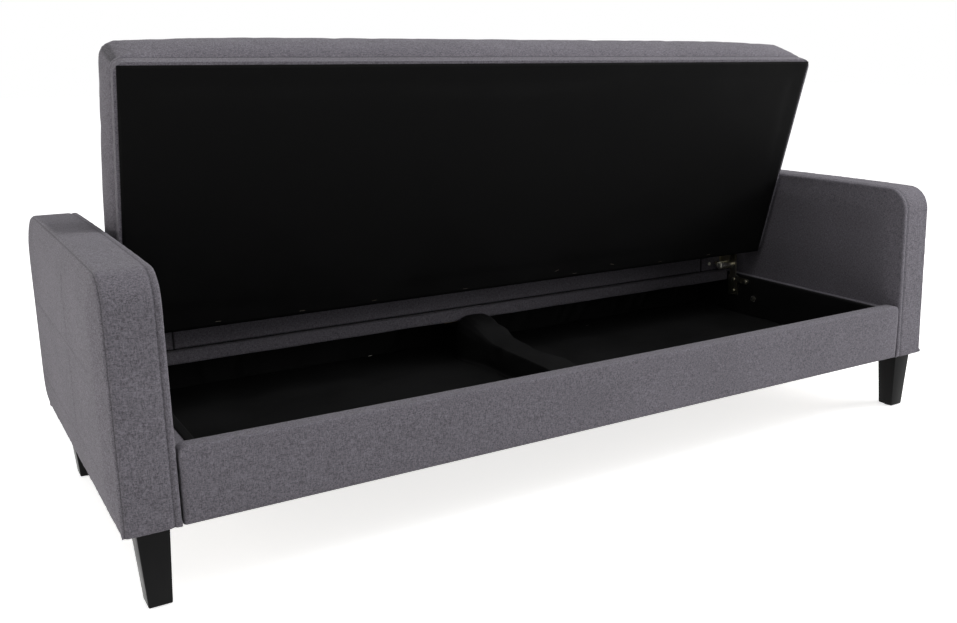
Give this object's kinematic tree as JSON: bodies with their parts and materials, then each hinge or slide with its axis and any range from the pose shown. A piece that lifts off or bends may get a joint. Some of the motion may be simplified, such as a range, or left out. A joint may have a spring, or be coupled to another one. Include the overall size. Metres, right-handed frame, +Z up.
{
  "type": "storage sofa",
  "caption": "Upholstered sofa whose seat lifts on click-clack hinges over a lined storage box, with a folding backrest, padded arms and tapered legs.",
  "frame": {"origin": "middle of the footprint on the floor, with the seat raised and the backrest flat", "axes": "+X to the right across the sofa seen from its front, +Y to the back, +Z up"},
  "size_m": [2.04, 1.102, 0.9828],
  "materials": {
    "grey_fabric": "mid grey flat woven upholstery fabric",
    "black_lining": "black non-woven lining cloth",
    "timber": "bare sawn pine and plywood",
    "black_wood": "satin black paint",
    "zinc_steel": "yellow zinc plating",
    "nylon": "black nylon"
  },
  "bodies": {
    "base": {"left_arm": "grey_fabric", "right_arm": "grey_fabric", "front_rail_cover": "grey_fabric", "left_ledge_cover": "grey_fabric", "right_ledge_cover": "grey_fabric", "rear_cover": "grey_fabric", "rear_deck_cover": "grey_fabric", "left_bay_lining": "black_lining", "right_bay_lining": "black_lining", "divider_drape": "black_lining", "left_arm_frame": "timber", "right_arm_frame": "timber", "front_rail": "timber", "left_side_rail": "timber", "right_side_rail": "timber", "rear_board": "timber", "rear_deck": "timber", "floor_panel": "timber", "centre_beam": "timber", "centre_post": "timber", "front_left_leg": "black_wood", "front_right_leg": "black_wood", "rear_left_leg": "black_wood", "rear_right_leg": "black_wood", "leg_plates": "zinc_steel", "leg_bolts": "zinc_steel", "arm_bolts": "zinc_steel", "left_base_plate": "zinc_steel", "right_base_plate": "zinc_steel", "base_plate_screws": "zinc_steel", "pivot_bolts": "zinc_steel", "pivot_nuts": "zinc_steel", "stop_sleeves": "zinc_steel", "stop_bolts": "zinc_steel", "leg_glides": "nylon", "pivot_washers": "nylon"},
    "seat": {"seat_cushion": "grey_fabric", "seat_frame": "timber", "seat_slats": "timber", "seat_lining": "black_lining", "left_seat_bracket": "zinc_steel", "right_seat_bracket": "zinc_steel", "seat_bracket_screws": "zinc_steel", "ratchets": "zinc_steel"},
    "backrest": {"back_cushion": "grey_fabric", "back_frame": "timber", "back_slats": "timber", "back_lining": "black_lining", "left_back_bracket": "zinc_steel", "right_back_bracket": "zinc_steel", "back_bracket_screws": "zinc_steel", "pawl_pins": "zinc_steel"},
    "left_pawl": {"left_pawl": "zinc_steel"},
    "right_pawl": {"right_pawl": "zinc_steel"}
  },
  "joints": [
    {"name": "seat_lift", "type": "hinge", "parent": "base", "child": "seat", "pos_m": [0, 0.062, 0.3818], "axis": [1, 0, 0], "range_deg": [0, 72]},
    {"name": "backrest_fold", "type": "hinge", "parent": "base", "child": "backrest", "pos_m": [0, 0.062, 0.3818], "axis": [1, 0, 0], "range_deg": [0, 72]},
    {"name": "left_pawl_release", "type": "hinge", "parent": "backrest", "child": "left_pawl", "pos_m": [-0.8665, 0.0823, 0.35313], "axis": [1, 0, 0], "range_deg": [-14, 0], "stiffness_Nm_per_rad": 0.05, "springref_deg": 11.46},
    {"name": "right_pawl_release", "type": "hinge", "parent": "backrest", "child": "right_pawl", "pos_m": [0.8665, 0.0823, 0.35313], "axis": [1, 0, 0], "range_deg": [-14, 0], "stiffness_Nm_per_rad": 0.05, "springref_deg": 11.46}
  ],
  "couplings": [
    {"joint": "backrest_fold", "follows": "seat_lift", "ratio": 1}
  ]
}
